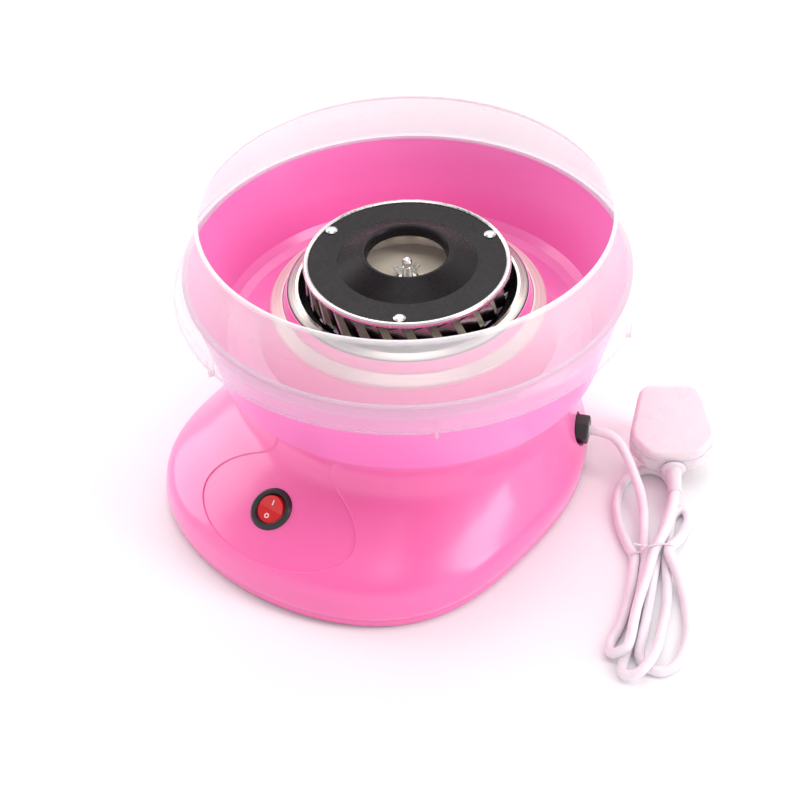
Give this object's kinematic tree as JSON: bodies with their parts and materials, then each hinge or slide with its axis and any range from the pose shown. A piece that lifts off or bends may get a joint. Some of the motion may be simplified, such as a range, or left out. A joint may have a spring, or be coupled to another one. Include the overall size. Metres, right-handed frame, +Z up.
{
  "type": "cotton candy machine",
  "caption": "Table-top cotton candy machine: round bowl with a milky splash guard, spinning heated extractor head, rounded base with rocker switch, and corded plug.",
  "frame": {"origin": "centre of the box round the machine without its cord, on the surface that the feet stand on", "axes": "+Z up along the bowl's axis, -Y towards the switch and the front, +X to the right seen from the front"},
  "size_m": [0.3761, 0.2994, 0.1827],
  "materials": {
    "pink_housing": "gloss moulded",
    "pink_bowl": "gloss moulded",
    "milky_plastic": "milky translucent",
    "rubber": "matt",
    "zinc_steel": "zinc plated",
    "bright_steel": "bright",
    "brushed_dish": "spun and brushed",
    "louvre_steel": "pressed",
    "spun_aluminium": "spun satin",
    "black_plate": "satin",
    "black_plastic": "moulded",
    "bronze": "sintered",
    "ferrite": "matt",
    "carbon": "matt",
    "heater_sheath": "heat darkened",
    "ceramic": "glazed ceramic",
    "brass": "satin",
    "cord_sheath": "soft flexible sheath",
    "tie_wire": "coated wire",
    "white_plastic": "moulded",
    "plug_plastic": "moulded",
    "circuit_board": "lacquered",
    "wire_insulation": "extruded",
    "fuse_red": "moulded",
    "lamination_steel": "stamped",
    "copper_wire": "enamelled",
    "red_lens": "translucent",
    "white_marks": "inlaid"
  },
  "bodies": {
    "base": {"base_housing": "pink_housing", "base_deck": "pink_housing", "cup_collar": "pink_housing", "bottom_cover": "pink_housing", "rubber_feet": "rubber", "cover_screws": "zinc_steel", "panhead_screws": "zinc_steel", "motor_can": "zinc_steel", "motor_end_cap": "black_plastic", "motor_bushes": "bronze", "motor_magnets": "ferrite", "motor_brushes": "carbon", "motor_bracket": "zinc_steel", "motor_grommets": "rubber", "cup_spacers": "zinc_steel", "heat_shield_cup": "spun_aluminium", "heater_ring": "heater_sheath", "heater_ceramics": "ceramic", "heater_tags": "zinc_steel", "thermal_cutout": "ceramic", "switch_body": "black_plastic", "switch_pivot": "bright_steel", "switch_terminals": "brass", "cord_gland": "black_plastic", "cord_inner": "cord_sheath", "cord_clamp": "white_plastic", "clamp_block": "pink_housing", "rectifier_board": "circuit_board", "board_components": "black_plastic", "terminal_block": "white_plastic", "inner_wires": "wire_insulation", "cord_lead": "cord_sheath", "cord_hank": "cord_sheath", "cord_tail": "cord_sheath", "cord_tie": "tie_wire", "plug_body": "plug_plastic", "plug_cover": "plug_plastic", "plug_pins": "brass", "plug_pin_sleeves": "black_plastic", "plug_fuse_carrier": "fuse_red", "plug_strain_relief": "plug_plastic"},
    "rotor": {"motor_shaft": "bright_steel", "drive_pin": "bright_steel", "armature_core": "lamination_steel", "armature_windings": "copper_wire", "commutator": "copper_wire"},
    "head": {"sugar_pan": "brushed_dish", "head_hub": "brass", "hub_clip": "bright_steel", "louvre_band": "louvre_steel", "top_plate": "black_plate", "rim_ring": "bright_steel", "plate_rivets": "bright_steel"},
    "bowl": {"bowl": "pink_bowl", "bowl_floor": "pink_bowl", "bowl_collar": "pink_bowl", "bowl_trim_ring": "spun_aluminium"},
    "guard": {"splash_guard": "milky_plastic"},
    "rocker": {"rocker": "red_lens", "rocker_marks": "white_marks"}
  },
  "joints": [
    {"name": "head_spin", "type": "hinge", "parent": "base", "child": "rotor", "pos_m": [0, 0.0115, 0.1], "axis": [0, 0, 1], "continuous": true},
    {"name": "head_lift", "type": "slide", "parent": "rotor", "child": "head", "axis": [0, 0, 1], "range_m": [0, 0.03]},
    {"name": "bowl_lift", "type": "slide", "parent": "base", "child": "bowl", "axis": [0, 0, 1], "range_m": [0, 0.07]},
    {"name": "guard_lift", "type": "slide", "parent": "bowl", "child": "guard", "axis": [0, 0, 1], "range_m": [0, 0.05]},
    {"name": "rocker_tilt", "type": "hinge", "parent": "base", "child": "rocker", "pos_m": [-0.003, -0.11549, 0.03896], "axis": [-1, 0, 0], "range_deg": [0, 20]}
  ]
}
